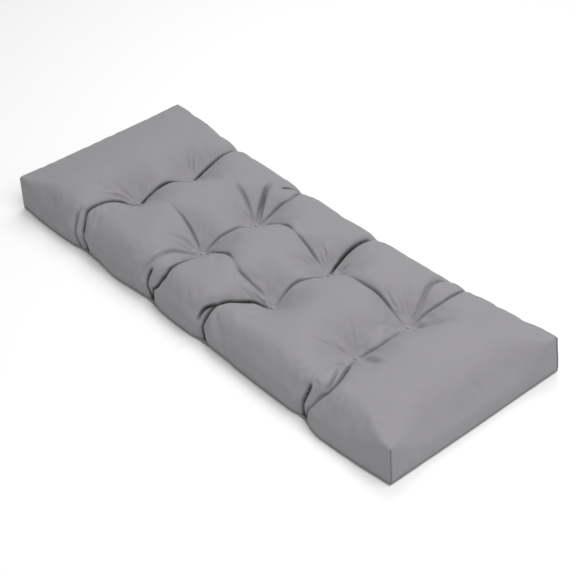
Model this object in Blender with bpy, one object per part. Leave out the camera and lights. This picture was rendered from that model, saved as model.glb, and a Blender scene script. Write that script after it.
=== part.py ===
"""A tufted outdoor bench cushion, lying on its back, in metres with +Z up.

The filled cover is one solid. It starts as a box that is cut into a grid, finer along the tufts and folds.
The box is drawn into a crowned cushion with boxed corners, and the folds are then pressed into it along its
normals. A tuft tie, a short bar of thread, sits at the bottom of each tuft.
"""

from collections import namedtuple

import bmesh
import bpy
import numpy as np

# Driving sizes of the cushion
LENGTH = 1.32
WIDTH = 0.50
CORNER_HEIGHT = 0.100
CROWN = 0.034

HALF_LENGTH = LENGTH / 2
HALF_WIDTH = WIDTH / 2

# Rounding of an edge: the (across, down) sizes in its middle, and the run over which they grow from a corner
Rounding = namedtuple("Rounding", "across down run")
CORNER_SIZE = 0.003
FRONT_EDGE = Rounding(0.058, 0.046, 0.16)
BACK_EDGE = Rounding(0.042, 0.038, 0.36)
LEFT_EDGE = Rounding(0.008, 0.005, 0.10)
RIGHT_EDGE = Rounding(0.090, 0.046, 0.16)
LOWER_EDGE = Rounding(0.004, 0.004, 0.10)
SIDE_BULGE = 0.006
END_BULGE = 0.005

# The outline along the long sides: how far the lower seam is drawn in at the front and the back (below zero
# it is let out), and how far the top sinks along its back edge
SidePlace = namedtuple("SidePlace", "along front back sinking")
SIDE_PLACES = (
    SidePlace(-0.66, 0.000, 0.000, 0.000),
    SidePlace(-0.56, -0.004, -0.005, 0.001),
    SidePlace(-0.46, -0.002, -0.005, 0.005),
    SidePlace(-0.39, 0.004, 0.004, 0.003),
    SidePlace(-0.36, 0.004, 0.000, 0.003),
    SidePlace(-0.26, -0.004, -0.006, 0.008),
    SidePlace(-0.16, 0.003, 0.003, 0.009),
    SidePlace(-0.06, -0.005, -0.006, 0.013),
    SidePlace(0.01, -0.005, -0.006, 0.018),
    SidePlace(0.09, 0.000, 0.002, 0.013),
    SidePlace(0.24, -0.004, -0.006, 0.015),
    SidePlace(0.36, -0.003, -0.004, 0.007),
    SidePlace(0.40, -0.002, 0.003, 0.004),
    SidePlace(0.44, -0.012, -0.012, 0.010),
    SidePlace(0.56, -0.012, -0.012, 0.017),
    SidePlace(0.66, 0.000, 0.000, 0.000),
)

# The outline across the ends: how far the lower seam is drawn in at the left end and at the right end
EndPlace = namedtuple("EndPlace", "across left right")
END_PLACES = (
    EndPlace(-0.25, -0.003, -0.003),
    EndPlace(-0.20, -0.010, -0.010),
    EndPlace(-0.10, -0.009, -0.009),
    EndPlace(0.00, -0.007, -0.006),
    EndPlace(0.10, -0.008, -0.008),
    EndPlace(0.20, -0.006, -0.006),
    EndPlace(0.25, 0.000, 0.000),
)

# Tufts: the plan place of each, and the even columns and rows that the grid starts from
FRONT_1, BACK_1 = (-0.400, -0.077), (-0.390, 0.080)
FRONT_2, BACK_2 = (-0.134, -0.091), (-0.130, 0.075)
FRONT_3, BACK_3 = (0.133, -0.102), (0.130, 0.069)
FRONT_4, BACK_4 = (0.386, -0.084), (0.389, 0.070)
FRONT_TUFTS = (FRONT_1, FRONT_2, FRONT_3, FRONT_4)
BACK_TUFTS = (BACK_1, BACK_2, BACK_3, BACK_4)
TUFT_COLUMNS = (-0.395, -0.132, 0.132, 0.387)
TUFT_ROWS = (-0.088, 0.074)

# Each tuft has a flat seat for its tie, and the top rises round it over the spread
TUFT_SEAT_HEIGHT = 0.060
TUFT_SEAT_RADIUS = 0.0135
TUFT_TIP_RADIUS = 0.0045
TUFT_SPREAD = 0.095
TUFT_SOFTNESS = 0.30
UNDER_TUFT_DEPTH = 0.010
UNDER_TUFT_SPREAD = 0.040

# Tuft ties
TIE_LENGTH = 0.009
TIE_WIDTH = 0.0035
TIE_HEIGHT = 0.0025
TIE_ROUNDING = 0.0009
TIE_GAP = 0.0003

# Folds, each along a path over the cover laid flat. Across the cushion a path is y on the top, and past the
# edge it adds the distance down the side. Each depth is pressed in along the normal of the cover there.
Fold = namedtuple("Fold", "name path depths width")
FOLDS = (
    Fold("column_1_back",
         (BACK_1, (-0.391, 0.15), (-0.391, 0.22), (-0.395, 0.26), (-0.395, 0.35)),
         (0.004, 0.020, 0.026, 0.024, 0.012), 0.050),
    Fold("column_1_middle",
         (FRONT_1, (-0.393, 0.0), BACK_1),
         (0.004, 0.016, 0.004), 0.050),
    Fold("column_1_front",
         (FRONT_1, (-0.416, -0.13), (-0.426, -0.18), (-0.424, -0.24), (-0.416, -0.35)),
         (0.004, 0.020, 0.024, 0.026, 0.010), 0.050),
    Fold("column_2_back",
         (BACK_2, (-0.127, 0.15), (-0.126, 0.22), (-0.145, 0.28), (-0.150, 0.35)),
         (0.004, 0.014, 0.009, 0.016, 0.006), 0.060),
    Fold("column_2_middle",
         (FRONT_2, (-0.126, -0.01), BACK_2),
         (0.004, 0.010, 0.004), 0.045),
    Fold("column_2_front",
         (FRONT_2, (-0.139, -0.14), (-0.136, -0.20), (-0.137, -0.25), (-0.145, -0.35)),
         (0.004, 0.016, 0.020, 0.026, 0.010), 0.050),
    Fold("column_3_back",
         (BACK_3, (0.127, 0.15), (0.128, 0.22), (0.132, 0.26), (0.132, 0.35)),
         (0.004, 0.020, 0.024, 0.024, 0.008), 0.050),
    Fold("column_3_middle",
         (FRONT_3, (0.130, -0.02), BACK_3),
         (0.004, 0.014, 0.004), 0.050),
    Fold("column_3_front",
         (FRONT_3, (0.108, -0.125), (0.085, -0.17), (0.074, -0.22), (0.060, -0.35)),
         (0.004, 0.022, 0.026, 0.028, 0.010), 0.050),
    Fold("column_4_back",
         (BACK_4, (0.387, 0.15), (0.384, 0.22), (0.372, 0.27), (0.365, 0.35)),
         (0.004, 0.014, 0.013, 0.018, 0.006), 0.050),
    Fold("column_4_middle",
         (FRONT_4, (0.386, 0.0), BACK_4),
         (0.004, 0.022, 0.004), 0.100),
    Fold("column_4_front",
         (FRONT_4, (0.392, -0.14), (0.400, -0.20), (0.402, -0.25), (0.388, -0.35)),
         (0.004, 0.016, 0.018, 0.026, 0.010), 0.050),
    Fold("row_1_front",
         (FRONT_1, (-0.300, -0.068), (-0.200, -0.082), FRONT_2),
         (0.003, 0.003, 0.006, 0.003), 0.034),
    Fold("row_1_back",
         (BACK_1, (-0.320, 0.084), (-0.220, 0.084), BACK_2),
         (0.003, 0.003, 0.006, 0.003), 0.034),
    Fold("row_2_front",
         (FRONT_2, (-0.070, -0.082), (0.020, -0.090), FRONT_3),
         (0.003, 0.009, 0.008, 0.003), 0.034),
    Fold("row_2_back",
         (BACK_2, (-0.070, 0.088), (0.020, 0.080), BACK_3),
         (0.003, 0.011, 0.009, 0.003), 0.034),
    Fold("row_3_front",
         (FRONT_3, (0.200, -0.090), (0.300, -0.080), FRONT_4),
         (0.003, 0.002, 0.003, 0.003), 0.034),
    Fold("row_3_back",
         (BACK_3, (0.210, 0.084), (0.290, 0.080), BACK_4),
         (0.003, 0.012, 0.012, 0.003), 0.036),
    Fold("diagonal_2",
         (BACK_2, (-0.160, 0.12), (-0.185, 0.15), (-0.215, 0.19)),
         (0.004, 0.014, 0.010, 0.001), 0.030),
    Fold("diagonal_4",
         (BACK_4, (0.367, 0.13), (0.345, 0.18), (0.330, 0.23)),
         (0.004, 0.010, 0.010, 0.010), 0.030),
)
FOLD_PLUMPNESS = 0.52
BLEND_POWER = 3.0
STEPS_PER_SPAN = 8
COLUMN_WARP_REACH = 0.13
ROW_WARP_REACH = 0.07
EDGE_TOLERANCE = 1e-6

# Colour and finish of the cloth and the thread
CLOTH_COLOUR = (0.33, 0.32, 0.335, 1.0)
CLOTH_ROUGHNESS = 0.9
THREAD_COLOUR = (0.42, 0.41, 0.42, 1.0)
THREAD_ROUGHNESS = 0.7


def smooth_step(t):
    """A smooth rise from 0 to 1 as t goes from 0 to 1."""
    t = np.clip(t, 0.0, 1.0)
    return t * t * (3.0 - 2.0 * t)


def grid_lines(half_span, centres, fine_offsets, edge_offsets, coarse_step):
    """Places of the cuts along one axis: close together at each centre and at each end, and even between."""
    marks = {-half_span, half_span}
    for centre in centres:
        marks.update(centre + side * offset for offset in fine_offsets for side in (-1, 1))
    for offset in edge_offsets:
        marks.update((half_span - offset, offset - half_span))
    marks = sorted(marks)
    lines = []
    for start, end in zip(marks[:-1], marks[1:]):
        parts = max(1, round((end - start) / coarse_step))
        lines.extend(start + (end - start) * part / parts for part in range(parts))
    return lines[1:]


def cut_grid(mesh, axis, places):
    """Cuts the whole mesh by a plane at each place along one axis."""
    normal = np.eye(3)[axis]
    for place in places:
        geometry = mesh.verts[:] + mesh.edges[:] + mesh.faces[:]
        bmesh.ops.bisect_plane(mesh, geom=geometry, dist=1e-6, plane_co=normal * place, plane_no=normal)


def gridded_box():
    """A box of the cushion's length, width and corner height, standing on z = 0 and cut into a grid."""
    mesh = bmesh.new()
    bmesh.ops.create_cube(mesh, size=1.0)
    bmesh.ops.scale(mesh, vec=(LENGTH, WIDTH, CORNER_HEIGHT), verts=mesh.verts)
    bmesh.ops.translate(mesh, vec=(0.0, 0.0, CORNER_HEIGHT / 2), verts=mesh.verts)
    cut_grid(mesh, 0, grid_lines(HALF_LENGTH, TUFT_COLUMNS, (0.0, 0.005, 0.013, 0.026, 0.044),
                                 (0.008, 0.025, 0.055), 0.034))
    cut_grid(mesh, 1, grid_lines(HALF_WIDTH, TUFT_ROWS, (0.0, 0.006, 0.015, 0.028),
                                 (0.008, 0.022, 0.040), 0.030))
    cut_grid(mesh, 2, (0.012, 0.030, 0.050, 0.070, 0.086))
    return mesh


def smooth_path(points, values):
    """A Catmull-Rom curve through the points, with the values carried along it, as two arrays."""
    knots = np.column_stack((np.array(points, float), np.array(values, float)))
    padded = np.vstack((2 * knots[0] - knots[1], knots, 2 * knots[-1] - knots[-2]))
    samples = []
    for before, start, end, after in zip(padded, padded[1:], padded[2:], padded[3:]):
        for t in np.arange(STEPS_PER_SPAN) / STEPS_PER_SPAN:
            samples.append(0.5 * (2 * start + (end - before) * t
                                  + (2 * before - 5 * start + 4 * end - after) * t ** 2
                                  + (3 * start - before - 3 * end + after) * t ** 3))
    samples = np.array(samples + [knots[-1]])
    return samples[:, :2], samples[:, 2]


def nearest_on_path(places, path, values):
    """The distance from each place to a path, and the value that the path carries at its nearest point."""
    nearest = np.full(len(places), np.inf)
    carried = np.zeros(len(places))
    for start, end, first, last in zip(path[:-1], path[1:], values[:-1], values[1:]):
        span = end - start
        share = np.clip((places - start) @ span / (span @ span), 0.0, 1.0)
        distance = np.linalg.norm(places - start - share[:, None] * span, axis=1)
        closer = distance < nearest
        nearest = np.where(closer, distance, nearest)
        carried = np.where(closer, first + (last - first) * share, carried)
    return nearest, carried


def laid_flat(box):
    """Where each point of the box lies on the cover laid flat, and whether it is on the underside."""
    x, y, z = box.T
    down = CORNER_HEIGHT - z
    on_side = np.abs(y) > HALF_WIDTH - 1e-6
    on_end = np.abs(x) > HALF_LENGTH - 1e-6
    along = x + np.where(on_end, np.sign(x) * down, 0.0)
    across = y + np.where(on_side, np.sign(y) * down, 0.0)
    underside = (z < 1e-6) & ~on_side & ~on_end
    return np.column_stack((along, across)), underside


def warped_to_tufts(box):
    """Shifts the box's points along y, so that its grid lines run through the tufts of each row."""
    moved = box.copy()
    for row, tufts in zip(TUFT_ROWS, (FRONT_TUFTS, BACK_TUFTS)):
        along, across = np.array([(-HALF_LENGTH, row), *tufts, (HALF_LENGTH, row)]).T
        shift = np.interp(box[:, 0], along, across) - row
        moved[:, 1] += shift * smooth_step(1.0 - np.abs(box[:, 1] - row) / ROW_WARP_REACH)
    return moved


def warped_to_folds(box):
    """Shifts the box's points along x, so that its grid lines run down the middle of the column folds."""
    flat, underside = laid_flat(box)
    depth_of_side = np.sign(box[:, 1]) * (HALF_WIDTH + CORNER_HEIGHT)
    across = np.where(underside, depth_of_side, flat[:, 1])
    share = np.where(underside, (box[:, 1] / HALF_WIDTH) ** 4, 1.0)
    moved = box.copy()
    for number, column in enumerate(TUFT_COLUMNS, start=1):
        folds = [fold for fold in FOLDS if fold.name.startswith(f"column_{number}")]
        points = np.vstack([smooth_path(fold.path, fold.depths)[0] for fold in folds])
        points = points[np.argsort(points[:, 1])]
        shift = np.interp(across, points[:, 1], points[:, 0]) - column
        moved[:, 0] += share * shift * smooth_step(1.0 - np.abs(box[:, 0] - column) / COLUMN_WARP_REACH)
    return moved


def grown_rounding(from_corner, edge):
    """The (across, down) sizes of an edge's rounding, at each distance from a corner."""
    grown = smooth_step(from_corner / edge.run)
    return [CORNER_SIZE + (middle - CORNER_SIZE) * grown for middle in (edge.across, edge.down)]


def rounded_edge(inward, along_side, across_size, side_size):
    """The inset and fall of points `inward` from an edge on a flat face, or `along_side` on its side."""
    near_edge = np.clip(1.0 - inward / across_size, 0.0, 1.0)
    past_edge = np.clip(along_side / side_size, 0.0, 1.0)
    angle = np.pi / 4 * (near_edge + past_edge)
    inset = np.where(inward > across_size, inward, across_size * (1.0 - np.sin(angle)))
    fall = np.where(along_side > side_size, along_side, side_size * (1.0 - np.cos(angle)))
    return inset, fall


def edge_pair(negative, positive, places, inward, along_side, from_corner):
    """The inset and fall at the edges of the negative and the positive half, by the sign of each place."""
    low = rounded_edge(inward, along_side, *grown_rounding(from_corner, negative))
    high = rounded_edge(inward, along_side, *grown_rounding(from_corner, positive))
    return [np.where(places < 0.0, first, second) for first, second in zip(low, high)]


def drawn_in(side, along, places, negative, positive):
    """How far the lower seam is drawn in, read from the first column where side is below zero."""
    return np.where(side < 0.0, np.interp(along, places, negative), np.interp(along, places, positive))


def cushion_form(box):
    """Draws the box's points into the plump cushion, before any fold is pressed in."""
    x, y, z = box.T
    down = CORNER_HEIGHT - z
    to_end = HALF_LENGTH - np.abs(x)
    to_side = HALF_WIDTH - np.abs(y)
    on_top, on_under = down < EDGE_TOLERANCE, z < EDGE_TOLERANCE
    on_end, on_side = to_end < EDGE_TOLERANCE, to_side < EDGE_TOLERANCE

    side_inset, side_drop = edge_pair(FRONT_EDGE, BACK_EDGE, y, to_side, down, to_end)
    end_inset, end_drop = edge_pair(LEFT_EDGE, RIGHT_EDGE, x, to_end, down, to_side)
    side_low_inset, side_rise = edge_pair(LOWER_EDGE, LOWER_EDGE, y, to_side, z, to_end)
    end_low_inset, end_rise = edge_pair(LOWER_EDGE, LOWER_EDGE, x, to_end, z, to_side)

    bulge = np.sin(np.pi * np.clip(z / CORNER_HEIGHT, 0.0, 1.0) ** 0.8)
    side_bulge = SIDE_BULGE * bulge * smooth_step(to_end / FRONT_EDGE.run) * on_side
    end_bulge = END_BULGE * bulge * smooth_step(to_side / RIGHT_EDGE.run) * on_end
    lower_share = 1.0 - np.clip(z / CORNER_HEIGHT, 0.0, 1.0) ** 2
    side_along, front, back, sinking = np.array(SIDE_PLACES).T
    end_across, left, right = np.array(END_PLACES).T
    side_drawn = drawn_in(y, x, side_along, front, back) * lower_share
    end_drawn = drawn_in(x, y, end_across, left, right) * lower_share
    inset_y = np.select([on_top, on_under, on_side],
                        [side_inset, side_low_inset, side_inset + side_low_inset], to_side)
    inset_x = np.select([on_top, on_under, on_end],
                        [end_inset, end_low_inset, end_inset + end_low_inset], to_end)
    inset_y += side_drawn * (1.0 - to_side / HALF_WIDTH) - side_bulge
    inset_x += end_drawn * (1.0 - to_end / HALF_LENGTH) ** 4 - end_bulge

    crown = CROWN * (1.0 - (x / HALF_LENGTH) ** 6) * (1.0 - (y / HALF_WIDTH) ** 2)
    sunk = np.interp(x, side_along, sinking) * np.clip(y / HALF_WIDTH, 0.0, 1.0) ** 4
    low = z < LOWER_EDGE.down
    top_height = CORNER_HEIGHT - side_drop - end_drop + crown - sunk
    under_height = side_rise + end_rise
    side_height = np.where(low, side_rise, CORNER_HEIGHT - side_drop - sunk * (z / CORNER_HEIGHT) ** 2)
    end_height = np.where(low, end_rise, CORNER_HEIGHT - end_drop)
    height = np.select([on_top, on_under, on_side & on_end, on_side],
                       [top_height, under_height, z, side_height], end_height)
    drawn = (np.sign(x) * (HALF_LENGTH - inset_x), np.sign(y) * (HALF_WIDTH - inset_y), height)
    return np.column_stack(drawn)


def plump_profile(share, plumpness):
    """The depth of a valley between two pillows: 1 at its bottom, and 0 from a share of 1 outward."""
    return 1.0 - (1.0 - (1.0 - np.clip(share, 0.0, 1.0)) ** 2) ** plumpness


def fold_depths(flat):
    """How far the folds are pressed in at each point of the cover laid flat. Where folds meet, they blend."""
    total = np.zeros(len(flat))
    for fold in FOLDS:
        path, depths = smooth_path(fold.path, fold.depths)
        distance, depth = nearest_on_path(flat, path, depths)
        total += (depth * plump_profile(distance / fold.width, FOLD_PLUMPNESS)) ** BLEND_POWER
    return total ** (1.0 / BLEND_POWER)


def tuft_centres():
    """The plan places of the tufts, column by column."""
    return [place for column in zip(FRONT_TUFTS, BACK_TUFTS) for place in column]


def tuft_cone(away):
    """The pull at each distance from a tuft, as a share of its depth: a wide cone with a rounded rim."""
    inward = 1.0 - np.maximum(0.0, away - TUFT_TIP_RADIUS) / TUFT_SPREAD
    return (inward + np.sqrt(inward ** 2 + TUFT_SOFTNESS ** 2)) / (1.0 + np.sqrt(1.0 + TUFT_SOFTNESS ** 2))


def pull_tufts(form, flat, underside, upper):
    """Pulls the top down to the tufts, all at once, and the underside up a little below them."""
    centres = np.array(tuft_centres())
    away = np.array([np.linalg.norm(flat - centre, axis=1) for centre in centres])
    crests = form[np.argmin(np.where(upper, away, np.inf), axis=1), 2]
    between = np.linalg.norm(centres[:, None] - centres, axis=2)
    shares = np.linalg.solve(tuft_cone(between), crests - TUFT_SEAT_HEIGHT)
    fade = smooth_step((form[:, 2] - 0.3 * CORNER_HEIGHT) / (0.7 * CORNER_HEIGHT))
    lifts = UNDER_TUFT_DEPTH * (np.clip(1.0 - away / UNDER_TUFT_SPREAD, 0.0, 1.0) ** 2).sum(0)
    pulled = form.copy()
    pulled[:, 2] -= np.where(underside, -lifts, fade * (shares @ tuft_cone(away)))
    return pulled


def on_upper_panel(flat, underside):
    """Which points lie on the top, inside its edges."""
    return ~underside & (np.abs(flat[:, 1]) < HALF_WIDTH) & (np.abs(flat[:, 0]) < HALF_LENGTH)


def press_folds(pulled, normals, flat, underside, upper):
    """Presses the folds in along the normals, and levels each tuft's seat."""
    depth = np.where(underside, 0.0, fold_depths(flat))
    pressed = pulled - normals * depth[:, None]
    for centre in tuft_centres():
        seat = upper & (np.linalg.norm(flat - centre, axis=1) < TUFT_SEAT_RADIUS)
        pressed[seat, 2] = TUFT_SEAT_HEIGHT
    return pressed


def coordinates(mesh):
    """The mesh's vertex places as an array."""
    return np.array([vertex.co for vertex in mesh.verts])


def move_to(mesh, places):
    """Moves the mesh's vertices to the places."""
    for vertex, place in zip(mesh.verts, places):
        vertex.co = place
    mesh.normal_update()


def cloth_material(name, colour, roughness):
    """A plain Principled material."""
    material = bpy.data.materials.new(name)
    material.use_nodes = True
    shader = material.node_tree.nodes["Principled BSDF"]
    shader.inputs["Base Color"].default_value = colour
    shader.inputs["Roughness"].default_value = roughness
    shader.inputs["Metallic"].default_value = 0.0
    return material


def add_object(name, mesh, collection, material):
    """Makes an object of the mesh, in the collection, with the material."""
    data = bpy.data.meshes.new(name)
    mesh.to_mesh(data)
    mesh.free()
    data.shade_smooth()
    made = bpy.data.objects.new(name, data)
    made.data.materials.append(material)
    collection.objects.link(made)
    return made


def make_cushion(collection, material):
    """The filled cover: one closed solid."""
    mesh = gridded_box()
    box = coordinates(mesh)
    warped = warped_to_folds(warped_to_tufts(box))
    flat, underside = laid_flat(warped)
    upper = on_upper_panel(flat, underside)
    pulled = pull_tufts(cushion_form(warped), flat, underside, upper)
    move_to(mesh, pulled)
    normals = np.array([vertex.normal for vertex in mesh.verts])
    move_to(mesh, press_folds(pulled, normals, flat, underside, upper))
    bmesh.ops.dissolve_limit(mesh, angle_limit=1e-4, verts=mesh.verts, edges=mesh.edges)
    return add_object("cushion", mesh, collection, material)


def make_tie(number, centre, collection, material):
    """The short rounded bar of thread that tacks one tuft down, just above the tuft's seat."""
    mesh = bmesh.new()
    bmesh.ops.create_cube(mesh, size=1.0)
    bmesh.ops.scale(mesh, vec=(TIE_LENGTH, TIE_WIDTH, TIE_HEIGHT), verts=mesh.verts)
    bmesh.ops.bevel(mesh, geom=mesh.edges[:], offset=TIE_ROUNDING, segments=2, profile=0.5, affect="EDGES")
    bottom = TUFT_SEAT_HEIGHT + TIE_GAP
    bmesh.ops.translate(mesh, vec=(centre[0], centre[1], bottom + TIE_HEIGHT / 2), verts=mesh.verts)
    return add_object(f"tuft_tie_{number}", mesh, collection, material)


def main():
    for existing in list(bpy.data.objects):
        bpy.data.objects.remove(existing)
    collection = bpy.data.collections.new("tufted_bench_cushion")
    bpy.context.scene.collection.children.link(collection)
    cloth = cloth_material("grey_polyester", CLOTH_COLOUR, CLOTH_ROUGHNESS)
    thread = cloth_material("grey_thread", THREAD_COLOUR, THREAD_ROUGHNESS)
    make_cushion(collection, cloth)
    for number, centre in enumerate(tuft_centres(), start=1):
        make_tie(number, centre, collection, thread)


main()
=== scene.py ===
"""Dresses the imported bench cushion: its filled cover, its tuft ties, a floor, lights and a camera.

Sizes are in metres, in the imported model's frame: +X along the cushion, -Y towards its front side and +Z up.
"""

import logging
import math
from dataclasses import dataclass
from enum import Enum, IntEnum

import bpy
import numpy as np
from mathutils import Matrix, Vector


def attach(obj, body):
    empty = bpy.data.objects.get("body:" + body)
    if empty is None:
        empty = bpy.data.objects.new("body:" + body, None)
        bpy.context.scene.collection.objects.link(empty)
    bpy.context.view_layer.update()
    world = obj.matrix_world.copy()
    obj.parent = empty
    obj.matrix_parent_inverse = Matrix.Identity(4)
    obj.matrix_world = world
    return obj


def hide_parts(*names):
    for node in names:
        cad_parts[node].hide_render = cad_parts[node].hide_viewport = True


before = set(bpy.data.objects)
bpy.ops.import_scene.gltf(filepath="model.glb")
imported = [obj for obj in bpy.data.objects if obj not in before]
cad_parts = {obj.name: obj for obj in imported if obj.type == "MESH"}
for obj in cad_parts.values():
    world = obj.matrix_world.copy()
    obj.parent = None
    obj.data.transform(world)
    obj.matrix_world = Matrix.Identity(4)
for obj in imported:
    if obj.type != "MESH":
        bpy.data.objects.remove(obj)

log = logging.getLogger("cushion")

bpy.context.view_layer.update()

# The cushion's driving sizes, the same as the solid's
LENGTH = 1.32
WIDTH = 0.50
CORNER_HEIGHT = 0.100
HALF_LENGTH = LENGTH / 2
HALF_WIDTH = WIDTH / 2
TOLERANCE = 1e-6
TINY = 1e-9

Path = tuple[tuple[float, float], ...]


class Half(Enum):
    """The half of the cushion that an edge or an end belongs to."""

    NEGATIVE = -1
    POSITIVE = 1


class Face(IntEnum):
    """The faces of the box that the cover is drawn from: two to an axis, the negative one first."""

    LEFT = 0
    RIGHT = 1
    FRONT = 2
    BACK = 3
    UNDERSIDE = 4
    TOP = 5


class Slit(Enum):
    """The kinds of slit between two pillows: half open, wide and soft, or pressed shut, each with painted shade
    inside, strongest when shut.
    """

    OPEN = (0.0026, 0.26)
    WIDE = (0.0036, 0.26)
    SHUT = (0.0025, 1.0)

    def __init__(self, width: float, closed: float) -> None:
        """Names the kind's measures: its half width, and how strong the painted shade inside the slit is, from
        0 to 1.
        """
        self.width = width
        self.closed = closed


@dataclass(frozen=True)
class Rounding:
    """The rounding of an edge in its middle, and the run over which it grows from a corner."""

    across: float
    down: float
    run: float
    corner: float = 0.003

    def grown(self, from_corner: np.ndarray) -> tuple[np.ndarray, np.ndarray]:
        """The rounding at each distance from a corner.

        Args:
            from_corner: distances along the edge from its nearer corner.

        Returns:
            The sizes across and down, one of each for every distance.
        """
        share = smooth_step(from_corner / self.run)
        across = self.corner + (self.across - self.corner) * share
        down = self.corner + (self.down - self.corner) * share
        return across, down


@dataclass(frozen=True)
class SidePlace:
    """One place along the long sides.

    The lower seam is drawn in there by front and back (below zero it is let out), and the top sinks along its
    back edge by sinking.
    """

    along: float
    front: float
    back: float
    sinking: float


@dataclass(frozen=True)
class EndPlace:
    """One place across the ends, and how far the lower seam of either end is drawn in there."""

    across: float
    left: float
    right: float


@dataclass(frozen=True)
class Fold:
    """A sewn-in valley between two pillows of the cover.

    The path runs over the cover laid flat. depths are the valley's depths at the path's points, and slits are
    the depths of the narrow slit at its bottom, where the two pillows press on each other.
    """

    name: str
    path: Path
    depths: tuple[float, ...]
    width: float
    # The slits' depths also set how strong the painted shade in them is
    slits: tuple[float, ...]
    kind: Slit = Slit.OPEN


@dataclass(frozen=True)
class Crease:
    """A fine wrinkle of the cover: a groove with a raised shoulder on either side, fading out at both ends.

    The groove grows to its full depth over the share rise of its path, and runs out over the share fade. Its
    reach and its shoulders are measured in its own width and depth.
    """

    path: Path
    depth: float
    width: float = 0.0034
    rise: float = 0.15
    fade: float = 0.7
    reach: float = 4.0
    shoulder_place: float = 1.9
    shoulder_height: float = 0.35

    def profile(self, distance: np.ndarray) -> np.ndarray:
        """The groove's depth at each distance from its path, as a share of its full depth."""
        off = distance / self.width
        return np.exp(-off ** 2) - self.shoulder_height * np.exp(-(off - self.shoulder_place) ** 2)


# Where the eight tufts are tied, front and back by column
FRONT_1, BACK_1 = (-0.400, -0.077), (-0.390, 0.080)
FRONT_2, BACK_2 = (-0.134, -0.091), (-0.130, 0.075)
FRONT_3, BACK_3 = (0.133, -0.102), (0.130, 0.069)
FRONT_4, BACK_4 = (0.386, -0.084), (0.389, 0.070)
FRONT_TUFTS = (FRONT_1, FRONT_2, FRONT_3, FRONT_4)
BACK_TUFTS = (BACK_1, BACK_2, BACK_3, BACK_4)
TUFTS = tuple(place for column in zip(FRONT_TUFTS, BACK_TUFTS) for place in column)
COLUMNS = tuple((front[0] + back[0]) / 2 for front, back in zip(FRONT_TUFTS, BACK_TUFTS))
ROWS = tuple(sum(place[1] for place in tufts) / len(tufts) for tufts in (FRONT_TUFTS, BACK_TUFTS))

SIDE_PLACES = (
    SidePlace(-0.66, 0.000, -0.002, 0.000),
    SidePlace(-0.56, -0.004, -0.005, -0.003),
    SidePlace(-0.46, -0.002, -0.005, 0.000),
    SidePlace(-0.39, 0.004, 0.004, 0.003),
    SidePlace(-0.36, 0.004, 0.000, 0.003),
    SidePlace(-0.26, -0.004, -0.006, 0.008),
    SidePlace(-0.16, 0.003, 0.003, 0.009),
    SidePlace(-0.06, -0.005, -0.006, 0.013),
    SidePlace(0.01, -0.005, -0.006, 0.018),
    SidePlace(0.09, 0.000, 0.002, 0.013),
    SidePlace(0.24, -0.004, -0.006, 0.015),
    SidePlace(0.36, -0.003, -0.004, 0.007),
    SidePlace(0.40, -0.002, 0.003, 0.004),
    SidePlace(0.44, -0.012, -0.012, 0.006),
    SidePlace(0.56, -0.012, -0.012, 0.006),
    SidePlace(0.66, -0.002, -0.004, 0.000),
)

END_PLACES = (
    EndPlace(-0.25, -0.002, -0.005),
    EndPlace(-0.15, -0.008, -0.006),
    EndPlace(0.00, -0.007, -0.007),
    EndPlace(0.15, -0.006, -0.006),
    EndPlace(0.25, -0.003, -0.006),
)

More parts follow.
